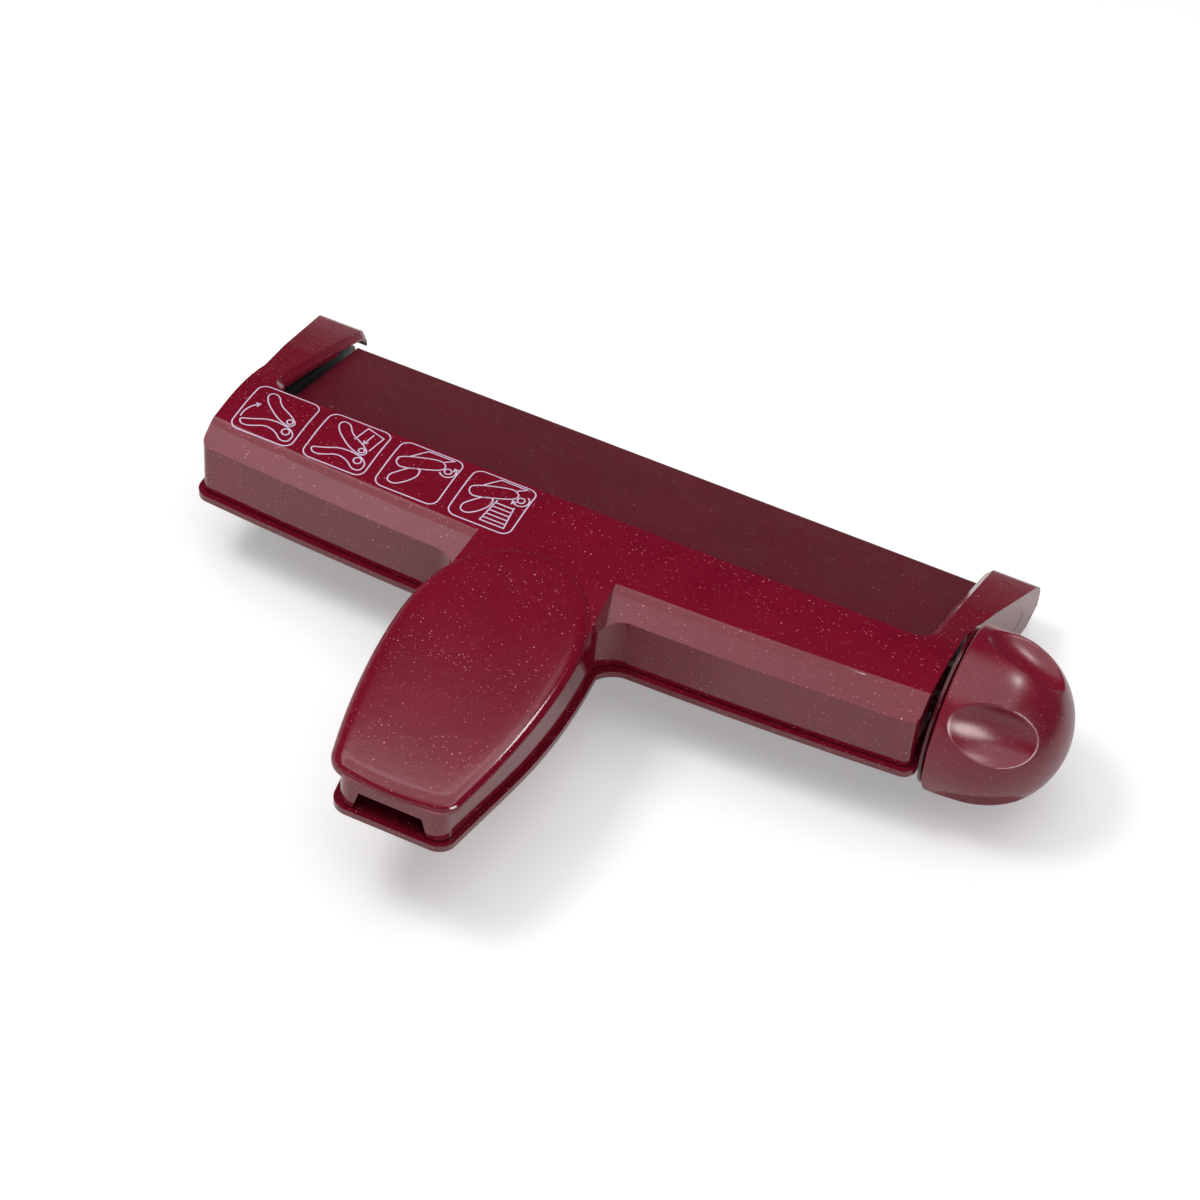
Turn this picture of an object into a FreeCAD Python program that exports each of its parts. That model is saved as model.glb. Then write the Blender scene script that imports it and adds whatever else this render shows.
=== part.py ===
import FreeCAD, Part
import math
import os

# Hand crimper: corrugates a sheet of paper between two ribbed rollers.
# Millimetres, +Z up. X runs along the rollers, the knob is at +X and the grips reach towards -Y.
# Working origin: middle of the head, y = 0 at the front face of the head, z = 0 under the lower lip.
# Every piece is moved by shift at the end: the origin is the middle of the bounding box, on the floor.

# ---- sheet and crimp -------------------------------------------------------------------------
sheet_width = 215.9
crimp_pitch = 5.24
drive_teeth = 10
idler_teeth = 8
rib_height = 0.8
rib_clearance = 0.45
sheet_slope = 44.0

# ---- clearances ------------------------------------------------------------------------------
running_gap = 0.04
part_gap = 0.5
side_gap = 0.4
slot_room = 0.8
roller_room = 1.05
carrier_room = 0.9
carrier_top_room = 0.5
rim_room = 0.3
base_room = 0.1

# ---- head and grips --------------------------------------------------------------------------
skin = 2.2
head_top = 27.0
head_flat = 27.0
head_rear = 94.0
head_front = -0.8
head_bow = 5.0
arm_flare_from = 40.0
arm_flare = 0.15
head_corner = 2.6
front_slope_deep = 7.3
front_slope_drop = 4.7
front_slope_round = 12.0
edge_round = 1.3
rear_mid = (58.0, 13.5)
slot_bevel = 2.0
slot_guard = 2.6
guard_front = 1.6
guard_rear = 3.0
guard_inset = 0.6
guard_deep = 3.4
arm_rear_top = -4.8
arm_bottom = -20.0
arm_chamfer = 5.5
slot_front = 31.0
slot_corner = 5.0
grip_x = -3.4
grip_length = 97.0
grip_half = 25.9
grip_neck_half = 22.4
grip_end_half = 16.8
grip_end_top = 24.7
top_fall_even = 0.45
top_fall_late = 0.55
grip_rise = 10.0
grip_rise_from = -8.0
crown_round = 400.0
end_gap_half = 12.5
end_gap_high = 7.2
end_gap_slant = 2.5
neck_radius = 9.0
pad_rise = 2.2
pad_round = 1.8
pad_half = 26.2
pad_end_half = 17.4
pad_widest = 0.40
pad_rear = 0.8
pad_end_bow = 1.6

# ---- lower handle and base -------------------------------------------------------------------
lip_height = 2.4
lip_proud = 1.9
grip_lip_proud = 1.6
rim_wall = 1.8
rim_top = 6.8
rim_gap = 1.0
side_pad_top = 9.0
side_pad_front = 5.5
side_lip_rear = 44.0
side_lip_cut = 1.5
bar_rear = 5.0
base_floor = -22.0
foot_height = 3.0
foot_radius = 6.0
foot_edge = 0.8
base_front = 18.0
base_rear = 85.0
base_top_front = (35.0, 13.5)
base_top_rear = -4.5
frame_thick = 3.0
frame_foot_front = 25.0
frame_foot_rear = 50.0
frame_foot_long = 14.0
base_front_top = -2.5
rear_boss_r = 3.2
rear_boss_height = 9.0
rear_boss_inset = 38.0
foot_inset = 19.95

# ---- knob side and hinge ---------------------------------------------------------------------
knob_axis = (26.0, 5.5)
knob_radius = 26.5
knob_length = 36.0
thumb_count = 5
thumb_turn = 51.0
thumb_lean = 24.0
thumb_round = 30.0
thumb_deep = 3.5
thumb_at = (15.8, 24.0)
collar_radius = 17.0
collar_thick = 1.2
hub_radius = 6.0
hub_length = 15.0
shaft_in_knob = 20.0
knob_hollow = 11.5
knob_wall = 10.0
sleeve_radius = 4.4
sleeve_way = 1.0
shaft_room = 0.6
drive_shaft_r = 2.5
drive_bush_r = 4.5
bush_flange = 1.2
bush_flange_proud = 2.0
clip_thick = 0.5
clip_proud = 1.7
groove_depth = 0.5
idler_shaft_r = 2.0
idler_bush_r = 3.2
hinge_axis = (79.5, -9.0)
hinge_pin_r = 3.2
hinge_tail_r = 2.5
hinge_boss_r = 6.5

# ---- screws ----------------------------------------------------------------------------------
screw_r = 1.25
screw_head_r = 2.1
screw_head_h = 1.4
handle_screw_y = (10.5, 39.5)
handle_screw_z = 5.5
base_screw_y = (30.0, 45.0)
base_screw_inset = 7.0
base_screw_long = 5.2
carrier_screw_inset = 3.0
carrier_screw_y = 5.2
carrier_lug_bottom = 15.8
carrier_lug_top = 19.0
carrier_boss_r = 2.6

# ---- tied values -----------------------------------------------------------------------------
drive_pitch_r = drive_teeth * crimp_pitch / (2 * math.pi)
idler_pitch_r = idler_teeth * crimp_pitch / (2 * math.pi)
nip_angle = math.radians(sheet_slope + 90)
centre_distance = drive_pitch_r + idler_pitch_r
idler_axis = (knob_axis[0] + centre_distance * math.cos(nip_angle),
              knob_axis[1] + centre_distance * math.sin(nip_angle))
roller_half = sheet_width / 2
knob_dome = 0.96 * knob_radius
knob_band = knob_length - knob_dome
knob_shoulder = 0.74 * knob_radius
slot_half = roller_half + slot_room
frame_in = roller_half + roller_room + bush_flange
frame_out = frame_in + frame_thick
head_inner = frame_out + rim_room + rim_wall + part_gap
head_half = head_inner + skin
collar_in = head_half + lip_proud + rim_room
collar_out = collar_in + collar_thick
knob_base = collar_out + part_gap
floor_level = base_floor - foot_height
carrier_boss_top = head_top - front_slope_drop + 2.1
carrier_screw_top = carrier_boss_top - 0.6
cover_bottom = lip_height + part_gap
arm_spread = arm_flare * (head_rear - arm_flare_from)
side_reach = head_half + arm_spread + 5

box_min = (-head_half - max(lip_proud, arm_spread), -grip_length - grip_lip_proud, floor_level)
box_max = (knob_base + knob_length, head_rear, head_top + pad_rise)
shift = (-(box_min[0] + box_max[0]) / 2, -(box_min[1] + box_max[1]) / 2, -floor_level)


def V(x, y, z):
    return FreeCAD.Vector(x, y, z)


def box(x0, x1, y0, y1, z0, z1):
    return Part.makeBox(x1 - x0, y1 - y0, z1 - z0, V(x0, y0, z0))


def rod(r, x0, x1, axis):
    # a cylinder along X through axis = (y, z)
    return Part.makeCylinder(r, x1 - x0, V(x0, axis[0], axis[1]), V(1, 0, 0))


def post(r, x, y, z0, z1):
    return Part.makeCylinder(r, z1 - z0, V(x, y, z0), V(0, 0, 1))


def outline(corners, place):
    # closed wire through (a, b, r) corners, each rounded with radius r; place maps (a, b) to 3-D
    n = len(corners)
    edges = []
    starts = []
    for i in range(n):
        a, b, r = corners[i]
        pa, pb = corners[i - 1][0], corners[i - 1][1]
        na, nb = corners[(i + 1) % n][0], corners[(i + 1) % n][1]
        u = (pa - a, pb - b)
        v = (na - a, nb - b)
        lu = math.hypot(*u)
        lv = math.hypot(*v)
        u = (u[0] / lu, u[1] / lu)
        v = (v[0] / lv, v[1] / lv)
        half = math.acos(max(-1.0, min(1.0, u[0] * v[0] + u[1] * v[1]))) / 2
        if r <= 0 or abs(half - math.pi / 2) < 1e-4:
            starts.append(((a, b), None, (a, b)))
            continue
        t = min(r / math.tan(half), 0.49 * lu, 0.49 * lv)
        rr = t * math.tan(half)
        p = (a + u[0] * t, b + u[1] * t)
        q = (a + v[0] * t, b + v[1] * t)
        w = (u[0] + v[0], u[1] + v[1])
        lw = math.hypot(*w)
        d = rr / math.sin(half) - rr
        m = (a + w[0] / lw * d, b + w[1] / lw * d)
        starts.append((p, m, q))
    for i in range(n):
        p, m, q = starts[i]
        if m is not None:
            edges.append(Part.Arc(place(*p), place(*m), place(*q)).toShape())
        nxt = starts[(i + 1) % n][0]
        if math.hypot(nxt[0] - q[0], nxt[1] - q[1]) > 1e-6:
            edges.append(Part.makeLine(place(*q), place(*nxt)))
    return Part.Face(Part.Wire(edges))


def plan(corners, z0, z1):
    return outline(corners, lambda a, b: V(a, b, z0)).extrude(V(0, 0, z1 - z0))


def side(corners, x0, x1):
    return outline(corners, lambda a, b: V(x0, a, b)).extrude(V(x1 - x0, 0, 0))


def mirrored(shape):
    return shape.mirror(V(0, 0, 0), V(1, 0, 0))


def pair(shape):
    # the same piece at both ends of the head
    return Part.makeCompound([shape, mirrored(shape)])


def fused(shapes):
    out = shapes[0]
    for s in shapes[1:]:
        out = out.fuse(s)
    return out.removeSplitter()


def rounded(shape, radius, wanted):
    # fillet the edges that wanted() picks, each on its own when they don't go together
    picked = [e for e in shape.Edges if wanted(e)]
    if not picked:
        return shape
    try:
        out = shape.makeFillet(radius, picked)
        if out.isValid() and out.Volume > 0.5 * shape.Volume:
            return out
    except Exception:
        pass
    return shape


def bevelled(shape, size, wanted):
    picked = [e for e in shape.Edges if wanted(e)]
    for some in (picked, picked[:1]):
        try:
            out = shape.makeChamfer(size, some)
            if some and out.isValid() and out.Volume > 0.5 * shape.Volume:
                return out
        except Exception:
            continue
    return shape


def outer_top(y):
    # height of the head's top, level in front and falling behind
    if y < head_flat:
        return head_top
    if y < rear_mid[0]:
        t = (y - head_flat) / (rear_mid[0] - head_flat)
        return head_top + t * (rear_mid[1] - head_top)
    t = (y - rear_mid[0]) / (head_rear - rear_mid[0])
    return rear_mid[1] + t * (arm_rear_top - rear_mid[1])


def flare_at(y):
    # how far the arms have spread outwards
    return max(0.0, arm_flare * (y - arm_flare_from))


def head_plan(grow, z0, z1, flared=True):
    # the head seen from above, its front edge bowed forwards, grown all round by grow
    h = head_half + grow
    c = max(head_corner + grow, 0.5)
    front = head_front - grow
    bow = -head_bow - grow
    rear = head_rear + grow
    arc = Part.Arc(V(-h + c, front, z0), V(0, bow, z0), V(h - c, front, z0)).toShape()
    left = Part.Arc(V(-h + c, front, z0), V(-h + c * 0.293, front + c * 0.293, z0), V(-h, front + c, z0))
    right = Part.Arc(V(h - c, front, z0), V(h - c * 0.293, front + c * 0.293, z0), V(h, front + c, z0))
    wide = h + (flare_at(rear) if flared else 0)
    path = [V(h, front + c, z0), V(h, arm_flare_from, z0), V(wide, rear, z0), V(-wide, rear, z0),
            V(-h, arm_flare_from, z0), V(-h, front + c, z0)]
    sides = [Part.makeLine(a, b) for a, b in zip(path, path[1:])]
    return Part.Face(Part.Wire([arc, right.toShape()] + sides + [left.toShape()])).extrude(V(0, 0, z1 - z0))


def grip_plan(grow, half, end_half, z0, z1):
    # the grip seen from above, from inside the head to its narrower front end
    w = half + grow
    e = end_half + grow
    n = grip_neck_half + grow
    front = -grip_length - grow
    wide = -0.45 * grip_length
    corners = [(grip_x - n, 8, 0), (grip_x - w, wide, 200), (grip_x - e, front, 5 + grow / 2),
               (grip_x + e, front, 5 + grow / 2), (grip_x + w, wide, 200), (grip_x + n, 8, 0)]
    return plan(corners, z0, z1)


def neck_plan(head_grow, grow, half, z0, z1):
    # the two hollow corners between the grip and the front of the head
    out = []
    r = neck_radius
    y0 = head_front - (head_bow + head_front) * (1 - ((half + r) / head_half) ** 2) - head_grow
    for sx in (-1, 1):
        x = grip_x + sx * (half + grow)
        corner = box(min(x, x + sx * r), max(x, x + sx * r), y0 - r, y0 + 3, z0, z1)
        hole = post(r, x + sx * r, y0 - r, z0 - 1, z1 + 1)
        out.append(corner.cut(hole))
    return out


def t_plan(grow, grip_grow, z0, z1):
    pieces = [head_plan(grow, z0, z1, False), grip_plan(grip_grow, grip_half, grip_end_half, z0, z1)]
    pieces += neck_plan(grow, grip_grow, grip_neck_half + 0.4, z0, z1)
    return fused(pieces)


def rise_at(y):
    # how far the grip's underside has risen above the head's
    return max(0.0, grip_rise * (grip_rise_from - y) / (grip_rise_from + grip_length))


def layer(z0, z1):
    # slab between two heights, level under the head and rising under the grip
    far = -grip_length - 20
    rear = head_rear + 20
    corners = [(far, z0 + rise_at(far), 0), (far, z1 + rise_at(far), 0), (grip_rise_from, z1, 40),
               (rear, z1, 0), (rear, z0, 0), (grip_rise_from, z0, 40)]
    return side(corners, -side_reach, side_reach)


def top_at(y):
    # the grip's top falls a little, more so towards its end
    t = min(0.0, y) / grip_length
    return head_top + (head_top - grip_end_top) * (top_fall_even * t - top_fall_late * t * t)


def grip_top(rise):
    # side-view corners of the grip's top, front to rear
    far = -1.2 * grip_length
    middle = -0.5 * grip_length
    return [(far, top_at(far) + rise, 0), (middle, top_at(middle) + rise, crown_round),
            (0, head_top + rise, crown_round)]


def envelope(inset, bottom):
    # side view of the top cover; the inset one is the hollow inside it
    t = inset
    far = -1.2 * grip_length
    rear = head_rear - t
    drop = (head_top - arm_rear_top) / (head_rear - head_flat)
    corners = [(far, bottom + rise_at(far), 0)] + grip_top(-t)
    corners += [(head_flat - t * 0.2, head_top - t, 60), (rear_mid[0] - t * 0.3, rear_mid[1] - t, 60)]
    corners += [(rear, arm_rear_top + t * drop - t * 1.06, 9 - t), (rear, arm_bottom + arm_chamfer, 0)]
    corners += [(head_rear - arm_chamfer - t * 0.4, arm_bottom, 0), (hinge_axis[0] - 13, arm_bottom, 4)]
    corners += [(side_lip_rear, bottom, 2), (grip_rise_from, bottom, 40)]
    return side(corners, -side_reach, side_reach)


def front_slope(inset):
    # what lies above the sloping band along the head's front edge, turned about the middle of the bow
    lean = front_slope_drop / front_slope_deep
    span = head_half - head_corner
    sag = head_bow + head_front
    bow_radius = (span ** 2 + sag ** 2) / (2 * sag)
    centre_y = bow_radius - head_bow
    out = 12
    low = head_top - front_slope_drop - inset * math.hypot(1, lean)
    top = head_top - inset
    deep = (top - low) / lean
    soft = 0 if inset else front_slope_round
    flat = deep + soft * math.tan(math.atan(lean) / 2) + 0.02
    corners = [(-head_bow - out, low - out * lean, 0), (-head_bow + deep, top, soft),
               (-head_bow + flat, top, 0), (-head_bow + flat, head_top + 20, 0),
               (-head_bow - out, head_top + 20, 0)]
    face = outline(corners, lambda a, b: V(0, a, b))
    half_turn = math.degrees(math.asin((head_half + 6) / bow_radius))
    start = V(0, centre_y, 0)
    face.rotate(start, V(0, 0, 1), -half_turn)
    return face.revolve(start, V(0, 0, 1), 2 * half_turn)


def head_block():
    # the head without the grip: one half with its edges softened, its mirror image, and the necks
    cut_z = head_top - front_slope_drop
    bottom = arm_bottom - 2
    wide = head_half + 20
    shape = head_plan(0, bottom, head_top + 5).common(envelope(0, cover_bottom)).cut(front_slope(0))
    half = shape.common(box(-wide, 0, -30, head_rear + 9, bottom, head_top + 9))

    def edge(e):
        b = e.BoundBox
        front = b.ZMin > cut_z - 0.2 and b.YMax < 0 and b.XLength > 60
        end = b.ZMin > cut_z - 0.2 and b.XMax < -head_half + 0.01 and b.YMax < arm_flare_from + 0.1
        return front or end

    half = rounded(half, edge_round, edge)
    shape = half.fuse(mirrored(half))
    for neck in neck_plan(0, 0, grip_neck_half + 0.4, bottom, head_top + 5):
        shape = shape.fuse(neck.common(envelope(0, cover_bottom)).cut(front_slope(0)))
    return shape.removeSplitter()


def head_cover():
    grip = grip_plan(0, grip_half, grip_end_half, arm_bottom - 2, head_top + 5)
    outer = head_block().fuse(grip.common(envelope(0, cover_bottom))).removeSplitter()
    low, high = arm_bottom - 30, head_top + 5
    inner_grip = grip_plan(-skin, grip_half, grip_end_half, low, high)
    corners = [(-1.3 * grip_length, low, 0)] + grip_top(-skin)
    corners += [(head_flat, head_top - skin, 60), (rear_mid[0] - 0.6, rear_mid[1] - skin, 60)]
    corners += [(head_rear - skin, arm_rear_top - skin * 0.75, 7), (head_rear - skin, low, 0)]
    inner_top = side(corners, -side_reach, side_reach)
    inner_head = fused([head_plan(-skin, low, high)]
                       + neck_plan(-skin, -skin, grip_neck_half + 0.4, low, high))
    inner_head = inner_head.common(inner_top).cut(front_slope(skin))
    cover = outer.cut(inner_head.fuse(inner_grip.common(inner_top)))
    # the sheet's way in: open to the rear between the two arms, with bevelled edges along the arms
    slot = plan([(-slot_half, slot_front, slot_corner), (slot_half, slot_front, slot_corner),
                 (slot_half, head_rear + 9, 0), (-slot_half, head_rear + 9, 0)], arm_bottom - 5, head_top + 9)
    g = slot_half + slot_guard
    front = slot_front - guard_front
    rear = head_rear - guard_rear
    guard = plan([(-g, front, slot_corner + guard_front), (g, front, slot_corner + guard_front),
                  (g, rear, 0), (-g, rear, 0)], 0, head_top + 9)
    skirt_band = envelope(guard_inset, cover_bottom)
    skirt_band = skirt_band.cut(skirt_band.translated(V(0, 0, -guard_deep)))
    skirt_band = skirt_band.common(box(-head_half, head_half, slot_front - 4, rear, 3, head_top + 1))
    cover = cover.fuse(guard.common(skirt_band)).cut(slot).removeSplitter()

    def slot_edge(e):
        b = e.BoundBox
        along = abs(abs(b.XMin) - slot_half) < 0.01 and b.XLength < 0.01 and b.YLength > 4
        return along and b.ZMax > arm_rear_top + 3 and abs(b.ZMax - outer_top(b.YMin)) < 1.0

    cover = bevelled(cover, slot_bevel, slot_edge)
    # the arms' rear wall ends level with the hinge so that it can swing past the base
    cover = cover.cut(box(-head_inner, head_inner, hinge_axis[0] + 6, head_rear + 1, arm_bottom - 9,
                          hinge_axis[1] - 1.3))
    # round the shaft the end wall is open downwards, and the cover lifts off the knob's sleeve
    way = rod(sleeve_radius + sleeve_way, head_inner - 1, head_half + 1, knob_axis)
    way = way.fuse(box(head_inner - 1, head_half + 1, knob_axis[0] - sleeve_radius - 1.6,
                       knob_axis[0] + sleeve_radius + sleeve_way, cover_bottom - 5, knob_axis[1]))
    cover = cover.cut(way)
    # hinge bosses inside the end walls, bosses for the carrier screws
    boss_out = head_inner + flare_at(hinge_axis[0] - hinge_boss_r) + 0.4
    for sx in (-1, 1):
        x0, x1 = sorted((sx * (frame_out + side_gap), sx * boss_out))
        cover = cover.fuse(rod(hinge_boss_r, x0, x1, hinge_axis))
        cover = cover.fuse(post(carrier_boss_r, sx * (roller_half - carrier_screw_inset), carrier_screw_y,
                                carrier_lug_top, carrier_boss_top))
    for sx in (-1, 1):
        x0, x1 = sorted((sx * (frame_out - 1), sx * (head_half + flare_at(head_rear))))
        cover = cover.cut(rod(hinge_pin_r + running_gap, x0, x1, hinge_axis))
        cover = cover.cut(post(screw_r, sx * (roller_half - carrier_screw_inset), carrier_screw_y,
                               carrier_lug_bottom - 1, carrier_screw_top))
    # opening in the end of the grip
    end = -grip_length
    z0 = cover_bottom + rise_at(end)
    w = end_gap_half
    gap = Part.Face(Part.makePolygon([V(grip_x - w, end - 5, z0 - 3), V(grip_x + w, end - 5, z0 - 3),
                                      V(grip_x + w - end_gap_slant, end - 5, z0 + end_gap_high),
                                      V(grip_x - w + end_gap_slant, end - 5, z0 + end_gap_high),
                                      V(grip_x - w, end - 5, z0 - 3)])).extrude(V(0, 5 + skin + 1.5, 0))
    return cover.cut(gap).removeSplitter()


def grip_pad():
    # raised oval on the grip: round behind, straight in front
    n = 24
    length = grip_length - 0.5
    left = []
    for i in range(n + 1):
        t = i / n
        w = pad_half * math.sqrt(max(0.0, 1 - (1 - min(t / pad_widest, 1.0)) ** 2.4))
        if t > pad_widest:
            w = pad_half - (pad_half - pad_end_half) * ((t - pad_widest) / (1 - pad_widest)) ** 1.9
        left.append((w, pad_rear - t * length))
    pts = [V(grip_x - w, y, 0) for w, y in reversed(left[1:])]
    tip = V(grip_x, pad_rear, 0)
    other = [V(grip_x + w, y, 0) for w, y in left[1:]]
    curve = Part.BSplineCurve()
    curve.interpolate(pts + [tip] + other)
    front_arc = Part.Arc(other[-1], V(grip_x, other[-1].y - pad_end_bow, 0), pts[0]).toShape()
    face = Part.Face(Part.Wire([curve.toShape(), front_arc]))
    block = face.extrude(V(0, 0, head_top + 10))
    over = [(9, head_top + pad_rise, 0), (9, head_top, 0)]
    slab = side(grip_top(pad_rise) + over + list(reversed(grip_top(0))), grip_x - 40, grip_x + 40)
    pad = block.common(slab)
    return rounded(pad, pad_round, lambda e: e.Length > 20
                   and e.BoundBox.ZMax > top_at(e.BoundBox.YMax) + 0.7 * pad_rise)


def lower_handle():
    # the lower grip's tray, the bar along the head's front, and a lip that shows all round
    tall = grip_rise + rim_top + 9
    body = t_plan(lip_proud, grip_lip_proud, -1, tall).common(layer(0, lip_height))
    body = body.cut(box(-frame_out, frame_out, bar_rear, head_rear + 9, -1, lip_height + 1))
    side_end = side_lip_rear - side_lip_cut
    body = body.cut(box(-head_half - 9, head_half + 9, side_end, head_rear + 9, -1, lip_height + 1))
    # a rim inside the cover's walls
    g = -skin - rim_gap
    ring = t_plan(g, g, 0, tall).cut(t_plan(g - rim_wall, g - rim_wall, -1, tall + 1))
    ring = ring.common(layer(lip_height - 0.5, rim_top))
    ring = ring.cut(box(-frame_out, frame_out, bar_rear, head_rear + 9, -1, rim_top + 1))
    ring = ring.cut(box(-head_half, head_half, side_end, head_rear + 9, -1, rim_top + 1))
    # nothing stands in the opening at the end of the grip
    mouth = box(grip_x - end_gap_half - 0.5, grip_x + end_gap_half + 0.5, -grip_length - 1, -grip_length + 9,
                lip_height, tall)
    ring = ring.cut(mouth.common(layer(lip_height, tall)))
    body = body.fuse(ring)
    # thicker side pads that carry the end frames, and the shaft's way through the right one
    for sx in (-1, 1):
        x0, x1 = sorted((sx * frame_out, sx * (head_inner - part_gap)))
        body = body.fuse(box(x0, x1, side_pad_front, side_end, 0.2, side_pad_top))
        for y in handle_screw_y:
            x0, x1 = sorted((sx * (frame_out - 1), sx * (head_inner - part_gap - 0.5)))
            body = body.cut(rod(screw_r, x0, x1, (y, handle_screw_z)))
    body = body.cut(rod(sleeve_radius, frame_out - 1, head_half + 2, knob_axis))
    body = body.cut(rod(sleeve_radius + 0.3, -head_inner, -frame_out + 1, knob_axis))
    return body.removeSplitter()


def end_frame(sx):
    # plate inside each end: carries the drive roller's bush and the hinge pin, stands on the base
    hy, hz = hinge_axis
    ky, kz = knob_axis
    sole = base_floor + lip_height
    corners = [(7, 0, 1), (7, 8.8, 1), (17.5, 8.8, 2), (23, kz + 8, 3), (34, kz + 8, 3), (hy + 2, hz + 7, 6),
               (hy + 8, hz + 2, 6), (hy + 4, hz - 9, 6), (54, sole + 6, 4), (frame_foot_rear, sole, 0),
               (frame_foot_front, sole, 0)]
    plate = side(corners, frame_in, frame_out)
    foot = box(frame_in - frame_foot_long, frame_out, frame_foot_front, frame_foot_rear,
               sole, sole + frame_thick)
    shape = plate.fuse(foot).removeSplitter()
    shape = shape.cut(rod(drive_bush_r, frame_in - 1, frame_out + 1, knob_axis))
    shape = shape.cut(rod(hinge_tail_r, frame_in - 1, frame_out + 1, hinge_axis))
    for y in handle_screw_y:
        shape = shape.cut(rod(screw_r, frame_in - 1, frame_out + 1, (y, handle_screw_z)))
    for y in base_screw_y:
        shape = shape.cut(post(screw_r, frame_in - base_screw_inset, y, base_floor, base_floor + 9))
    return shape if sx > 0 else mirrored(shape)


def base_screw_places():
    # four screws under the end frames' feet, two under the lid's rear bosses
    places = [(sx * (frame_in - base_screw_inset), y) for sx in (-1, 1) for y in base_screw_y]
    y = base_rear - lip_height - rear_boss_r + 1
    return places + [(sx * (roller_half - rear_boss_inset), y) for sx in (-1, 1)]


def base_tray():
    # floor of the base and the low wall that the crimped sheet comes out in front of
    z0 = base_floor
    w = roller_half + base_room
    floor = plan([(-w, base_front, 4), (w, base_front, 4), (w, base_rear, 3), (-w, base_rear, 3)],
                 z0, z0 + lip_height)
    wings = box(-frame_out, frame_out, frame_foot_front, frame_foot_rear, z0, z0 + lip_height)
    front = box(-w + 4, w - 4, base_front, base_front + lip_height, z0 + 1, base_front_top)
    shape = fused([floor, wings, front])
    for x, y in base_screw_places():
        shape = shape.cut(post(screw_r, x, y, z0 - 1, z0 + lip_height + 1))
        shape = shape.cut(post(screw_head_r + 0.2, x, y, z0 - 1, z0 + screw_head_h))
    return shape


def base_lid():
    # sloping roof behind the rollers and the rear wall that it stands on
    z0 = base_floor + lip_height
    w = roller_half + base_room
    t = lip_height
    ty, tz = base_top_front
    corners = [(ty, tz, 1), (ty, tz - t, 1), (base_rear, base_top_rear - t - 1, 0),
               (base_rear, base_top_rear, 4)]
    roof = side(corners, -w, w)
    wall = box(-w + 3, w - 3, base_rear - t, base_rear, z0, base_top_rear - 1)
    shape = roof.fuse(wall)
    places = [p for p in base_screw_places() if p[1] > frame_foot_rear]
    for x, y in places:
        shape = shape.fuse(post(rear_boss_r, x, y, z0, z0 + rear_boss_height))
    for x, y in places:
        shape = shape.cut(post(screw_r, x, y, z0 - 1, base_floor + base_screw_long))
    return shape.removeSplitter()


def rib_roller(teeth, pitch_r, axis, peak_at, end):
    # a wavy roller; its ribs run the whole length
    n = teeth * 10
    pts = []
    for i in range(n):
        a = 2 * math.pi * i / n
        r = pitch_r - rib_clearance / 2 + rib_height * math.cos(teeth * (a - peak_at))
        pts.append(V(-end, axis[0] + r * math.cos(a), axis[1] + r * math.sin(a)))
    curve = Part.BSplineCurve()
    curve.interpolate(pts, PeriodicFlag=True)
    return Part.Face(Part.Wire([curve.toShape()])).extrude(V(2 * end, 0, 0))


def drive_roller():
    body = rib_roller(drive_teeth, drive_pitch_r, knob_axis, nip_angle, roller_half)
    return body.cut(rod(drive_shaft_r, -head_half, head_half, knob_axis))


def idler_roller():
    peak = nip_angle + math.pi + math.pi / idler_teeth
    body = rib_roller(idler_teeth, idler_pitch_r, idler_axis, peak, roller_half)
    return body.cut(rod(idler_shaft_r, -head_half, head_half, idler_axis))


def drive_shaft():
    end = knob_base + shaft_in_knob
    shaft = rod(drive_shaft_r, -frame_out - 1.6, end, knob_axis)
    groove = rod(drive_shaft_r + 1, -frame_out - 2 * clip_thick, -frame_out - clip_thick, knob_axis)
    groove = groove.cut(rod(drive_shaft_r - groove_depth, -frame_out - 2, -frame_out, knob_axis))
    return shaft.cut(groove)


def clip(x0, x1, shaft_r, axis):
    # E-clip: a thin ring with a mouth
    ring = rod(shaft_r + clip_proud, x0, x1, axis).cut(rod(shaft_r - groove_depth, x0 - 1, x1 + 1, axis))
    mouth = box(x0 - 1, x1 + 1, axis[0] - 1.2, axis[0] + 1.2, axis[1] - shaft_r - 3, axis[1])
    return ring.cut(mouth)


def drive_clip():
    return clip(-frame_out - 2 * clip_thick, -frame_out - clip_thick, drive_shaft_r, knob_axis)


def drive_bushes():
    # flanged sleeve in each end frame
    sleeve = rod(drive_bush_r, frame_in, frame_out, knob_axis)
    flange = rod(drive_bush_r + bush_flange_proud, frame_in - bush_flange, frame_in, knob_axis)
    bush = sleeve.fuse(flange).cut(rod(drive_shaft_r + running_gap, 0, frame_out + 9, knob_axis))
    return pair(bush.removeSplitter())


def knob_collar():
    # disc between the head's end and the knob, on a sleeve that goes through to the end frame
    disc = rod(collar_radius, collar_in, collar_out, knob_axis)
    disc = rounded(disc, 0.8, lambda e: e.BoundBox.XMin > collar_out - 0.01 and e.Length > 100)
    sleeve = rod(sleeve_radius, frame_out, collar_in + 1, knob_axis)
    bore = rod(drive_shaft_r + shaft_room, frame_out - 1, collar_out + 1, knob_axis)
    return disc.fuse(sleeve).cut(bore).removeSplitter()


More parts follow.
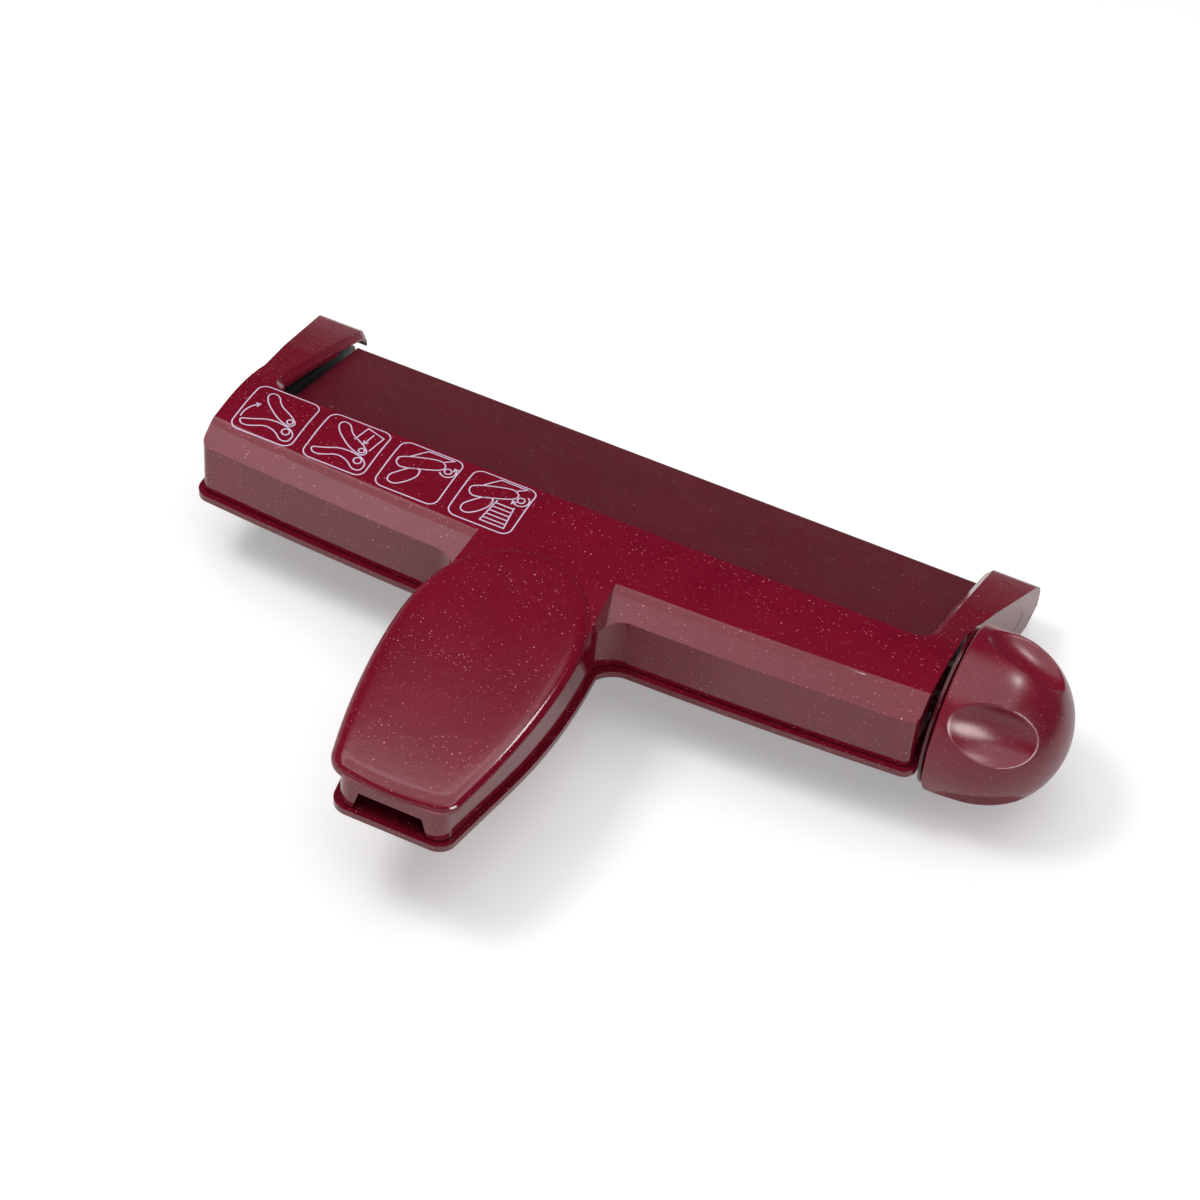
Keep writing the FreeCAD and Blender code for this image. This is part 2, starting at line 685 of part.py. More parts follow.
def dome_face(length, radius, shoulder):
    # half section of a dome: an arc of radius shoulder at its rim runs into a larger one at its tip
    lift = radius - shoulder
    reach = length - shoulder
    centre = (reach ** 2 - lift ** 2) / (2 * reach)
    tip_r = length - centre
    lean = math.atan2(lift, -centre)
    meet = (centre + tip_r * math.cos(lean), tip_r * math.sin(lean))
    a0 = math.atan2(meet[1] - lift, meet[0])
    a1 = (a0 + math.pi / 2) / 2
    mid = V(shoulder * math.cos(a1), lift + shoulder * math.sin(a1), 0)
    b1 = math.atan2(meet[1], meet[0] - centre) / 2
    tip_mid = V(centre + tip_r * math.cos(b1), tip_r * math.sin(b1), 0)
    join = V(meet[0], meet[1], 0)
    edges = [Part.Arc(V(0, radius, 0), mid, join).toShape(),
             Part.Arc(join, tip_mid, V(length, 0, 0)).toShape(),
             Part.makeLine(V(length, 0, 0), V(0, 0, 0)), Part.makeLine(V(0, 0, 0), V(0, radius, 0))]
    return Part.Face(Part.Wire(edges))


def knob():
    ky, kz = knob_axis
    band = Part.makeCylinder(knob_radius, knob_band, V(0, 0, 0), V(1, 0, 0))
    dome = dome_face(knob_length - knob_band, knob_radius, knob_shoulder)
    dome = dome.revolve(V(0, 0, 0), V(1, 0, 0), 360).translated(V(knob_band, 0, 0))
    dome = dome.fuse(band).removeSplitter()
    dome = rounded(dome, 0.9, lambda e: e.BoundBox.XMax < 0.01 and e.Length > 100)
    # oval thumb hollows along the dome, each cut with a large round bar
    lean = math.radians(thumb_lean)
    for k in range(thumb_count):
        bar = Part.makeCylinder(thumb_round, 120, V(-60, 0, 0), V(1, 0, 0))
        bar.rotate(V(0, 0, 0), V(0, 1, 0), thumb_lean)
        lift = thumb_round - thumb_deep
        bar.translate(V(thumb_at[0] + lift * math.sin(lean), 0, thumb_at[1] + lift * math.cos(lean)))
        bar.rotate(V(0, 0, 0), V(1, 0, 0), thumb_turn + 360 / thumb_count * k)
        dome = dome.cut(bar)
    # hollow behind, with a middle boss for the hub
    inside = Part.makeCylinder(knob_radius - knob_wall, knob_hollow + 1, V(-1, 0, 0), V(1, 0, 0))
    inside = inside.cut(Part.makeCylinder(hub_radius + 2.5, 99, V(-1, 0, 0), V(1, 0, 0)))
    dome = dome.cut(inside)
    dome = dome.cut(Part.makeCylinder(hub_radius, hub_length + 1, V(-1, 0, 0), V(1, 0, 0)))
    dome = dome.cut(Part.makeCylinder(drive_shaft_r, shaft_in_knob + 1, V(-1, 0, 0), V(1, 0, 0)))
    return dome.translated(V(knob_base, ky, kz))


def knob_hub():
    # brass insert moulded into the knob, pressed on the shaft
    hub = rod(hub_radius, knob_base, knob_base + hub_length, knob_axis)
    return hub.cut(rod(drive_shaft_r, 0, knob_base + knob_length, knob_axis))


def hinge_pins():
    pin = rod(hinge_pin_r, frame_out, head_half + flare_at(hinge_axis[0]) - 0.2, hinge_axis)
    tail = rod(hinge_tail_r, frame_in, frame_out, hinge_axis)
    return pair(pin.fuse(tail))


def roller_carriers():
    # block at each end that holds the idler's bush, hung from the cover by a lug
    iy, iz = idler_axis
    x0 = roller_half + carrier_room
    x1 = head_inner
    top = head_top - skin - carrier_top_room
    z0, z1 = carrier_lug_bottom, carrier_lug_top
    wide = idler_bush_r + 2.0
    block = box(x0, x1, iy - wide, iy + wide, iz, top).fuse(rod(wide, x0, x1, idler_axis))
    lug = box(roller_half - 2 * carrier_screw_inset, x1 - 3.5, skin + 0.4, carrier_screw_y + 2.2, z0, z1)
    link = box(x0, x1, carrier_screw_y + 2, iy, z0, z1)
    shape = fused([block, lug, link])
    shape = shape.cut(rod(idler_bush_r, 0, head_half, idler_axis))
    shape = shape.cut(post(screw_r, roller_half - carrier_screw_inset, carrier_screw_y, z0 - 5, z1 + 5))
    return pair(shape)


def idler_bushes():
    sleeve = rod(idler_bush_r, roller_half + carrier_room, head_inner, idler_axis)
    return pair(sleeve.cut(rod(idler_shaft_r + running_gap, 0, head_half, idler_axis)))


def idler_shaft():
    e = head_inner - 0.4
    shaft = rod(idler_shaft_r, -e, e, idler_axis)
    for sx in (-1, 1):
        x0, x1 = sorted((sx * roller_half, sx * (roller_half + clip_thick)))
        groove = rod(idler_shaft_r + 1, x0, x1, idler_axis)
        shaft = shaft.cut(groove.cut(rod(idler_shaft_r - groove_depth, x0 - 1, x1 + 1, idler_axis)))
    return shaft


def idler_clips():
    return pair(clip(roller_half, roller_half + clip_thick, idler_shaft_r, idler_axis))


def carrier_screws():
    x = roller_half - carrier_screw_inset
    y = carrier_screw_y
    z = carrier_lug_bottom
    screw = post(screw_r, x, y, z, carrier_screw_top).fuse(post(screw_head_r, x, y, z - screw_head_h, z))
    return pair(screw.removeSplitter())


def handle_screws():
    out = []
    for y in handle_screw_y:
        axis = (y, handle_screw_z)
        screw = rod(screw_r, frame_in, head_inner - part_gap - 0.5, axis)
        screw = screw.fuse(rod(screw_head_r, frame_in - screw_head_h, frame_in, axis)).removeSplitter()
        out += [screw, mirrored(screw)]
    return Part.makeCompound(out)


def base_screws():
    out = []
    z = base_floor + screw_head_h
    for x, y in base_screw_places():
        screw = post(screw_r, x, y, z, base_floor + base_screw_long)
        out.append(screw.fuse(post(screw_head_r, x, y, base_floor, z)).removeSplitter())
    return Part.makeCompound(out)


def base_feet():
    out = []
    x = roller_half - foot_inset
    for sx in (-1, 1):
        for y in (base_front + foot_radius + foot_edge, base_rear - foot_radius - 3):
            foot = post(foot_radius, sx * x, y, floor_level, base_floor)
            out.append(rounded(foot, 0.6, lambda e: e.BoundBox.ZMax < floor_level + 0.01 and e.Length > 20))
    return Part.makeCompound(out)


parts = {
    "lower_handle": lower_handle,
    "end_frame_left": lambda: end_frame(-1),
    "end_frame_right": lambda: end_frame(1),
    "base_tray": base_tray,
    "base_lid": base_lid,
    "base_feet": base_feet,
    "base_screws": base_screws,
    "handle_screws": handle_screws,
    "drive_bushes": drive_bushes,
    "knob_collar": knob_collar,
    "hinge_pins": hinge_pins,
    "head_cover": head_cover,
    "grip_pad": grip_pad,
    "roller_carriers": roller_carriers,
    "idler_bushes": idler_bushes,
    "carrier_screws": carrier_screws,
    "drive_roller": drive_roller,
    "drive_shaft": drive_shaft,
    "drive_clip": drive_clip,
    "knob": knob,
    "knob_hub": knob_hub,
    "idler_roller": idler_roller,
    "idler_shaft": idler_shaft,
    "idler_clips": idler_clips,
}

os.makedirs("parts", exist_ok=True)
for name, make in parts.items():
    shape = make()
    shape.translate(V(*shift))
    b = shape.BoundBox
    print(name, len(shape.Solids), shape.isValid(), round(shape.Volume / 1000, 2),
          [round(c, 1) for c in (b.XMin, b.XMax, b.YMin, b.YMax, b.ZMin, b.ZMax)])
    shape.exportStep("parts/" + name + ".step")
print("shift", [round(s, 4) for s in shift])
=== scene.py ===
import math

import bmesh
import bpy
import numpy as np
from mathutils import Matrix, Vector
from mathutils.bvhtree import BVHTree


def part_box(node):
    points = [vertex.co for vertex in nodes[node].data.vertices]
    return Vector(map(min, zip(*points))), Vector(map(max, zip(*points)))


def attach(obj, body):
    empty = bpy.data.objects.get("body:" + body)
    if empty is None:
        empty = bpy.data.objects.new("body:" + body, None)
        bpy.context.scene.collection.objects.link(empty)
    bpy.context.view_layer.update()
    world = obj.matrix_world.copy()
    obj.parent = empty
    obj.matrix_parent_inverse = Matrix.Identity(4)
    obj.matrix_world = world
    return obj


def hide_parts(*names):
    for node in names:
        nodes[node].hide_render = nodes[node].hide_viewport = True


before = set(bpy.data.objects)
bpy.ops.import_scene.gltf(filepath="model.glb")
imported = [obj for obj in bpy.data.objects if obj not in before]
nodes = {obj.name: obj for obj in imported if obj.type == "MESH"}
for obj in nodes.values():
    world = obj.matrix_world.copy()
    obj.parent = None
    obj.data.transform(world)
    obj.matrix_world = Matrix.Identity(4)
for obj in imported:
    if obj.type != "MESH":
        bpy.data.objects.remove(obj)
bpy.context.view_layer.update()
scene = bpy.context.scene

# ==== CAMERA ===================================================================================
# Stands in front of the grips and a little to the knob's side, looking down on the tool. It is
# rolled by a few degrees, so that the tool runs from the upper left to the lower right.
camera_high = math.radians(48)
camera_aside = math.radians(21)
camera_roll = math.radians(5.49)
camera_away = 1.1
camera_aim = Vector((-0.01111, 0.0323, 0.01128))
to_camera = Vector((math.sin(camera_aside) * math.cos(camera_high),
                    -math.cos(camera_aside) * math.cos(camera_high), math.sin(camera_high)))
level = Vector((math.cos(camera_aside), math.sin(camera_aside), 0))
upright = to_camera.cross(level)
right = math.cos(camera_roll) * level + math.sin(camera_roll) * upright
up = math.cos(camera_roll) * upright - math.sin(camera_roll) * level
camera_data = bpy.data.cameras.new("camera")
camera_data.sensor_width = 36
camera_data.lens = 106.69
camera_data.clip_start = 0.02
camera = bpy.data.objects.new("camera", camera_data)
scene.collection.objects.link(camera)
turn = Matrix((right, up, to_camera)).transposed().to_4x4()
camera.matrix_world = Matrix.Translation(camera_aim + camera_away * to_camera) @ turn
scene.camera = camera

# ==== STUDIO ===================================================================================
# White table that runs far out, a soft box overhead, a lamp at the front left and two small cards
# that only reflections show. The room is white near the horizon and dark above, but for a belt on
# the ceiling, which keeps the top faces deep red.
scene.view_settings.view_transform = "Standard"


def new_material(name):
    made = bpy.data.materials.new(name)
    made.use_nodes = True
    tree = made.node_tree
    shader = tree.nodes["Principled BSDF"]
    return made, tree, shader


def feed(tree, made, key, value):
    # a socket joined to another one, or set to a plain value
    if isinstance(value, bpy.types.NodeSocket):
        tree.links.new(value, made.inputs[key])
    else:
        made.inputs[key].default_value = value


def node(tree, kind, inputs, **settings):
    # a new node with its settings, and with its inputs by name or number
    made = tree.nodes.new(kind)
    for key, value in settings.items():
        setattr(made, key, value)
    for key, value in inputs.items():
        feed(tree, made, key, value)
    return made


def math_node(tree, operation, *values, clamp=False):
    made = node(tree, "ShaderNodeMath", {}, operation=operation, use_clamp=clamp)
    for i, value in enumerate(values):
        feed(tree, made, i, value)
    return made.outputs[0]


def ramp(tree, value, start, end, low=0.0, high=1.0, way="LINEAR"):
    # a value between start and end, spread over low to high
    sockets = {"Value": value, "From Min": start, "From Max": end, "To Min": low, "To Max": high}
    return node(tree, "ShaderNodeMapRange", sockets, interpolation_type=way).outputs[0]


def ray_kinds(tree):
    # whether a ray comes from the camera, a reflection, glass or a matt surface
    path = tree.nodes.new("ShaderNodeLightPath")
    return [path.outputs[f"Is {kind} Ray"] for kind in ("Camera", "Glossy", "Transmission", "Diffuse")]


table_half, table_cuts = 6.0, 24
cut_lines = [-table_half + 2 * table_half * i / table_cuts for i in range(table_cuts + 1)]
row = table_cuts + 1
corners = [(x, y, 0) for y in cut_lines for x in cut_lines]
squares = [(k, k + 1, k + row + 1, k + row)
           for j in range(table_cuts) for k in range(j * row, j * row + table_cuts)]
table_mesh = bpy.data.meshes.new("table")
table_mesh.from_pydata(corners, [], squares)
table = bpy.data.objects.new("table", table_mesh)
scene.collection.objects.link(table)

table_white, tree, shader = new_material("table_white")
ground = node(tree, "ShaderNodeTexNoise", {"Scale": 6.0, "Detail": 3.0})
tint = ramp(tree, ground.outputs["Fac"], 0.0, 1.0, 0.80, 0.84)
grey = node(tree, "ShaderNodeCombineColor", {"Red": tint, "Green": tint, "Blue": tint})
tree.links.new(grey.outputs[0], shader.inputs["Base Color"])
shader.inputs["Roughness"].default_value = 0.8
shader.inputs["Specular IOR Level"].default_value = 0.1
# the camera sees the table glow a little, so that it is white where no shadow falls
table_glow, glow_in_gloss = 0.3, 0.6
in_view, in_gloss, in_glass, _ = ray_kinds(tree)
seen = math_node(tree, "MULTIPLY_ADD", in_gloss, glow_in_gloss, in_view)
seen = math_node(tree, "ADD", seen, in_glass, clamp=True)
glow = node(tree, "ShaderNodeEmission", {"Strength": math_node(tree, "MULTIPLY", seen, table_glow)})
both = node(tree, "ShaderNodeAddShader", {0: shader.outputs[0], 1: glow.outputs[0]})
# in reflections the table is painted in shade well behind the tool and far to its right
painted_table_shade = 0.97
spot = node(tree, "ShaderNodeSeparateXYZ", {0: tree.nodes.new("ShaderNodeTexCoord").outputs["Object"]})
behind = ramp(tree, spot.outputs["Y"], 0.18, 0.34, way="SMOOTHSTEP")
beside = ramp(tree, spot.outputs["X"], 0.22, 0.42, way="SMOOTHSTEP")
shaded = math_node(tree, "MULTIPLY", math_node(tree, "MAXIMUM", behind, beside), in_gloss)
shaded = math_node(tree, "MULTIPLY", shaded, painted_table_shade)
# reflection rays there see this dark grey in place of the white table: painted shade
painted_dusk = node(tree, "ShaderNodeBsdfDiffuse", {"Color": (0.05, 0.05, 0.05, 1)})
either = node(tree, "ShaderNodeMixShader", {0: shaded, 1: both.outputs[0], 2: painted_dusk.outputs[0]})
tree.links.new(either.outputs[0], tree.nodes["Material Output"].inputs["Surface"])
table_mesh.materials.append(table_white)

world = bpy.data.worlds.new("studio")
scene.world = world
world.use_nodes = True
tree = world.node_tree
sky = tree.nodes["Background"]
in_view, in_gloss, in_glass, in_matt = ray_kinds(tree)
direction = node(tree, "ShaderNodeSeparateXYZ",
                 {0: tree.nodes.new("ShaderNodeTexCoord").outputs["Generated"]})
height = ramp(tree, direction.outputs["Z"], 0.10, 0.50, 1.0, 0.10, way="SMOOTHSTEP")
# the walls behind the table and to its right are in shade, the others are lit
aside = math_node(tree, "MULTIPLY_ADD", direction.outputs["X"], 0.5, direction.outputs["Y"])
facing = ramp(tree, aside, -0.2, 0.5, 0.95, 0.05, way="SMOOTHSTEP")
walls = math_node(tree, "MULTIPLY", height, facing)
# a bright belt on the ceiling from some 50 degrees up, out to the soft box
belt_start = ramp(tree, direction.outputs["Z"], 0.765, 0.85, 0.0, 1.3, way="SMOOTHSTEP")
belt_end = ramp(tree, direction.outputs["Z"], 0.85, 0.91, 1.0, 0.0, way="SMOOTHSTEP")
ceiling = math_node(tree, "MULTIPLY", belt_start, belt_end)
room = math_node(tree, "MULTIPLY", math_node(tree, "ADD", walls, ceiling), in_gloss)
# matt surfaces get a dim even light, and the camera sees plain white
dim = math_node(tree, "MULTIPLY", in_matt, 0.35)
plain = math_node(tree, "MAXIMUM", in_view, in_glass)
strength = math_node(tree, "ADD", math_node(tree, "ADD", room, dim), plain)
tree.links.new(strength, sky.inputs["Strength"])
sky.inputs["Color"].default_value = (1, 1, 1, 1)


def lamp(name, place, aim, power, wide, deep):
    data = bpy.data.lights.new(name, "AREA")
    data.shape = "RECTANGLE"
    data.size = wide
    data.size_y = deep
    data.energy = power
    made = bpy.data.objects.new(name, data)
    made.location = place
    made.rotation_euler = (Vector(place) - Vector(aim)).to_track_quat("Z", "Y").to_euler()
    scene.collection.objects.link(made)
    return made


lamp("soft_box_overhead", (0, 0, 0.9), (0, 0, 0), 5.2, 1.3, 0.9)
lamp("lamp_left", (-0.55, -0.2, 1.2), (0, 0, 0), 4.6, 0.35, 0.35).visible_glossy = False
card = lamp("card_beside_knob", (0.763, -0.418, 0.405), (0.12, 0.0, 0.04), 7.4, 0.42, 0.42)
card.visible_diffuse = False
card = lamp("card_behind_right", (0.40, 0.33, 0.66), (0.005, -0.06, 0.05), 0.85, 0.13, 0.13)
card.visible_diffuse = False

# ==== LOWER HANDLE =============================================================================
# The lower grip's tray and the bar along the head's front, one moulding of clear-skinned burgundy
# plastic with glitter flakes in it. Its lip shows all round under the cover.


def colour(red, green, blue):
    # screen values 0 to 255 as linear light
    out = [((c / 255 + 0.055) / 1.055) ** 2.4 if c > 10 else c / 255 / 12.92 for c in (red, green, blue)]
    return (*out, 1.0)


def new_group(name, ins, outs):
    # an empty node group with named inputs and outputs
    tree = bpy.data.node_groups.new(name, "ShaderNodeTree")
    for kind, label, value in ins:
        socket = tree.interface.new_socket(label, in_out="INPUT", socket_type=kind)
        socket.default_value = value
    for kind, label in outs:
        tree.interface.new_socket(label, in_out="OUTPUT", socket_type=kind)
    return tree, tree.nodes.new("NodeGroupInput"), tree.nodes.new("NodeGroupOutput")


def glitter_group():
    # flakes in clear plastic: cells with a small bright dot in some of them, at two sizes
    tree, start, end = new_group("glitter_flakes", [
        ("NodeSocketColor", "Plastic", (0.1, 0, 0.01, 1)),
        ("NodeSocketColor", "Flake", (0.6, 0.2, 0.25, 1)),
        ("NodeSocketFloat", "Cell", 0.0016),
        ("NodeSocketFloat", "Share", 0.3),
        ("NodeSocketFloat", "Strength", 0.8)],
        [("NodeSocketColor", "Color")])
    where = tree.nodes.new("ShaderNodeTexCoord").outputs["Object"]
    dot_edge = 0.07
    masks = []
    # for each size of flake: how wide its cells are, its dots' radius in a cell, and how many it has
    for cell_share, dot, many in ((1.0, 0.17, 0.9), (0.5, 0.23, 1.15)):
        size = math_node(tree, "MULTIPLY", start.outputs["Cell"], cell_share)
        scale = math_node(tree, "DIVIDE", 1.0, size)
        cells = node(tree, "ShaderNodeTexVoronoi", {"Vector": where, "Scale": scale})
        # each cell's own colour settles whether it has a dot, how large that is and how bright
        draw = node(tree, "ShaderNodeSeparateColor", {0: cells.outputs["Color"]})
        radius = math_node(tree, "MULTIPLY_ADD", draw.outputs["Blue"], dot * 0.6, dot * 0.55)
        inside = math_node(tree, "SUBTRACT", radius, cells.outputs["Distance"])
        dots = math_node(tree, "DIVIDE", inside, dot_edge, clamp=True)
        limit = math_node(tree, "MULTIPLY", start.outputs["Share"], many)
        chosen = math_node(tree, "LESS_THAN", draw.outputs["Red"], limit)
        # the flakes' pink is their own colour; how bright each one is, as by its tilt to the light, is a
        # painted glint
        glint_tilt = math_node(tree, "POWER", draw.outputs["Green"], 1.4)
        bright = math_node(tree, "MULTIPLY_ADD", glint_tilt, 0.8, 0.2)
        masks.append(math_node(tree, "MULTIPLY", math_node(tree, "MULTIPLY", dots, chosen), bright))
    flakes = math_node(tree, "MAXIMUM", *masks)
    flakes = math_node(tree, "MULTIPLY", flakes, start.outputs["Strength"], clamp=True)
    cloud = node(tree, "ShaderNodeTexNoise",
                 {"Vector": where, "Scale": 45.0, "Detail": 4.0, "Roughness": 0.6})
    shade = ramp(tree, cloud.outputs["Fac"], 0.3, 0.7, 0.92, 1.08)
    body = node(tree, "ShaderNodeHueSaturation", {"Color": start.outputs["Plastic"], "Value": shade})
    # the colour sockets of a Mix node come after its number and vector ones
    mixed = node(tree, "ShaderNodeMix", {0: flakes, 6: body.outputs[0], 7: start.outputs["Flake"]},
                 data_type="RGBA")
    tree.links.new(mixed.outputs[2], end.inputs["Color"])
    return tree


def grain_group():
    # fine uneven skin of a moulded or ground part: a height and a roughness that wander
    tree, start, end = new_group("skin_grain", [
        ("NodeSocketFloat", "Size", 0.002),
        ("NodeSocketFloat", "Stretch", 1.0),
        ("NodeSocketFloat", "Rough Low", 0.2),
        ("NodeSocketFloat", "Rough High", 0.3)],
        [("NodeSocketFloat", "Height"), ("NodeSocketFloat", "Roughness")])
    where = tree.nodes.new("ShaderNodeTexCoord").outputs["Object"]
    split = node(tree, "ShaderNodeSeparateXYZ", {0: where})
    along = math_node(tree, "DIVIDE", split.outputs["X"], start.outputs["Stretch"])
    joined = node(tree, "ShaderNodeCombineXYZ",
                  {"X": along, "Y": split.outputs["Y"], "Z": split.outputs["Z"]})
    scale = math_node(tree, "DIVIDE", 1.0, start.outputs["Size"])
    fine = node(tree, "ShaderNodeTexNoise",
                {"Vector": joined.outputs[0], "Scale": scale, "Detail": 5.0, "Roughness": 0.65})
    wide = node(tree, "ShaderNodeTexNoise", {"Vector": where, "Scale": 60.0, "Detail": 3.0})
    blend = math_node(tree, "MULTIPLY", wide.outputs["Fac"], 0.5)
    blend = math_node(tree, "MULTIPLY_ADD", fine.outputs["Fac"], 0.5, blend)
    rough = ramp(tree, blend, 0.35, 0.65, start.outputs["Rough Low"], start.outputs["Rough High"])
    tree.links.new(fine.outputs["Fac"], end.inputs["Height"])
    tree.links.new(rough, end.inputs["Roughness"])
    return tree


glitter = glitter_group()
grain = grain_group()
flake_cell = 0.0017
flake_pink = colour(232, 150, 164)


def group_node(tree, group, **values):
    # a group placed with its own values, where an underscore stands for a space in an input's name
    made = tree.nodes.new("ShaderNodeGroup")
    made.node_tree = group
    for key, value in values.items():
        made.inputs[key.replace("_", " ")].default_value = value
    return made


def bump(tree, shader, height, strength, distance):
    # relief of the surface, up to a distance in metres
    made = node(tree, "ShaderNodeBump", {"Height": height, "Strength": strength, "Distance": distance})
    tree.links.new(made.outputs[0], shader.inputs["Normal"])


def glitter_plastic(name, plastic, rough, share=0.36, strength=0.9, wave=0.02):
    # burgundy plastic with a share of its cells holding a flake, under a skin with slow waves
    made, tree, shader = new_material(name)
    flakes = group_node(tree, glitter, Plastic=plastic, Flake=flake_pink, Cell=flake_cell, Share=share,
                        Strength=strength)
    skin = group_node(tree, grain, Size=0.006, Rough_Low=rough * 0.85, Rough_High=rough * 1.25)
    tree.links.new(flakes.outputs["Color"], shader.inputs["Base Color"])
    tree.links.new(skin.outputs["Roughness"], shader.inputs["Roughness"])
    bump(tree, shader, skin.outputs["Height"], wave, 0.001)
    shader.inputs["IOR"].default_value = 1.5
    return made


def dress(name, material):
    # one material on the whole of a node
    mesh = nodes[name].data
    mesh.materials.clear()
    mesh.materials.append(material)
    for face in mesh.polygons:
        face.material_index = 0


def soften(name, width):
    # small rounding on a node's sharp edges
    bevel = nodes[name].modifiers.new("edges", "BEVEL")
    bevel.width = width
    bevel.segments = 2
    bevel.limit_method = "ANGLE"
    bevel.angle_limit = math.radians(40)
    bevel.use_clamp_overlap = True


lip_burgundy = glitter_plastic("lip_burgundy", colour(108, 14, 34), 0.12)
dress("lower_handle", lip_burgundy)
soften("lower_handle", 0.0003)

# ==== END FRAMES ===============================================================================
# Black nylon plates inside each end, moulded with a fine spark-eroded skin. They are screwed to
# the lower handle and to the tray, and carry the driven roller's sleeves and the hinge pins.


def grained(name, tone, uneven, rough, size, stretch=1.0, metallic=0.0, relief=None):
    # one colour with a fine grain in its tone and its gloss, and in its surface where a relief is given
    made, tree, shader = new_material(name)
    skin = group_node(tree, grain, Size=size, Stretch=stretch, Rough_Low=rough[0], Rough_High=rough[1])
    shade = ramp(tree, skin.outputs["Height"], 0.3, 0.7, uneven[0], uneven[1])
    body = node(tree, "ShaderNodeHueSaturation", {"Color": tone, "Value": shade})
    tree.links.new(body.outputs[0], shader.inputs["Base Color"])
    tree.links.new(skin.outputs["Roughness"], shader.inputs["Roughness"])
    shader.inputs["Metallic"].default_value = metallic
    if relief:
        bump(tree, shader, skin.outputs["Height"], *relief)
    return made


def moulded(name, tone, rough):
    # plain plastic or rubber from a spark-eroded mould
    return grained(name, tone, (0.8, 1.25), (rough - 0.08, rough + 0.08), 0.0005, relief=(0.25, 0.0002))


frame_black = moulded("frame_black", colour(40, 38, 41), 0.55)
for name in ("end_frame_left", "end_frame_right"):
    dress(name, frame_black)
    soften(name, 0.0002)

# ==== TRAY AND LID =============================================================================
# Satin burgundy mouldings under and behind the rollers, without the glossy skin of the handles.
# The tray is screwed to the end frames' feet from below, and the lid to the tray.
base_burgundy = glitter_plastic("base_burgundy", colour(92, 12, 30), 0.36, share=0.25, strength=0.5,
                                wave=0.01)
for name in ("base_tray", "base_lid"):
    dress(name, base_burgundy)
    soften(name, 0.0003)

# ==== FEET =====================================================================================
# Four black rubber feet stuck under the tray. Each has a rounded edge, and a shallow ring is
# moulded in the face that stands on the table.
rubber_black = moulded("rubber_black", colour(30, 30, 31), 0.75)
quarter = math.pi / 2


def bend(along, radius, bend_r, start, end, count):
    # points of a round stretch in a turned profile, from a start to an end angle about its centre
    return [(along + bend_r * math.sin(a), radius + bend_r * math.cos(a))
            for a in np.linspace(start, end, count)]


def lathe(profile, steps=64):
    # turned form about +X: profile is a list of (along, radius), and it is closed at radius 0
    points, faces = [], []
    for along, radius in profile:
        for j in range(steps):
            a = 2 * math.pi * j / steps
            points.append(Vector((along, -radius * math.sin(a), radius * math.cos(a))))
    for i in range(len(profile) - 1):
        for j in range(steps):
            k = (j + 1) % steps
            faces.append((i * steps + j, i * steps + k, (i + 1) * steps + k, (i + 1) * steps + j))
    return points, faces


def placed(parts, turns):
    # one list of points and faces from copies of a form, each put in place by its own matrix
    points, faces = [], []
    for turn in turns:
        first = len(points)
        points += [turn @ p for p in parts[0]]
        faces += [tuple(first + v for v in face) for face in parts[1]]
    return points, faces


def build(name, points, faces, material, body, slot, smooth_angle):
    mesh = bpy.data.meshes.new(name)
    mesh.from_pydata([tuple(p) for p in points], [], [tuple(f) for f in faces])
    # points that fall together, as at a pole or a seam, become one
    welded = bmesh.new()
    welded.from_mesh(mesh)
    bmesh.ops.remove_doubles(welded, verts=welded.verts, dist=1e-7)
    welded.to_mesh(mesh)
    welded.free()
    mesh.materials.append(material)
    for face in mesh.polygons:
        face.use_smooth = True
    mesh.set_sharp_from_angle(angle=math.radians(smooth_angle))
    made = bpy.data.objects.new(name, mesh)
    scene.collection.objects.link(made)
    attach(made, body)
    return made


feet_low, feet_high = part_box("base_feet")
foot_r = 0.006
foot_h = feet_high.z - feet_low.z
foot_round = 0.0009
ring_deep = 0.00045
profile = [(0, 0), (0, foot_r)]
profile += bend(foot_h - foot_round, foot_r - foot_round, foot_round, 0, quarter, 7)
# the moulded ring's edges and the middle of the face, as shares of the foot's radius
for deep, share in ((0, 0.72), (ring_deep, 0.66), (ring_deep, 0.50), (0, 0.44), (0, 0)):
    profile.append((foot_h - deep, foot_r * share))
down = Matrix.Rotation(quarter, 4, "Y")
turns = [Matrix.Translation((x, y, feet_high.z)) @ down
         for x in (feet_low.x + foot_r, feet_high.x - foot_r)
         for y in (feet_low.y + foot_r, feet_high.y - foot_r)]
feet = build("rubber_feet", *placed(lathe(profile), turns), rubber_black, "base", "rubber", 50)
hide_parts("base_feet")

# ==== SLEEVES ==================================================================================
# Flanged sleeves of natural white bearing plastic, pressed in the end frames and the carriers.
# The shafts of both rollers run in them.
bearing_white = moulded("bearing_white", colour(222, 220, 212), 0.45)
dress("drive_bushes", bearing_white)
dress("idler_bushes", bearing_white)

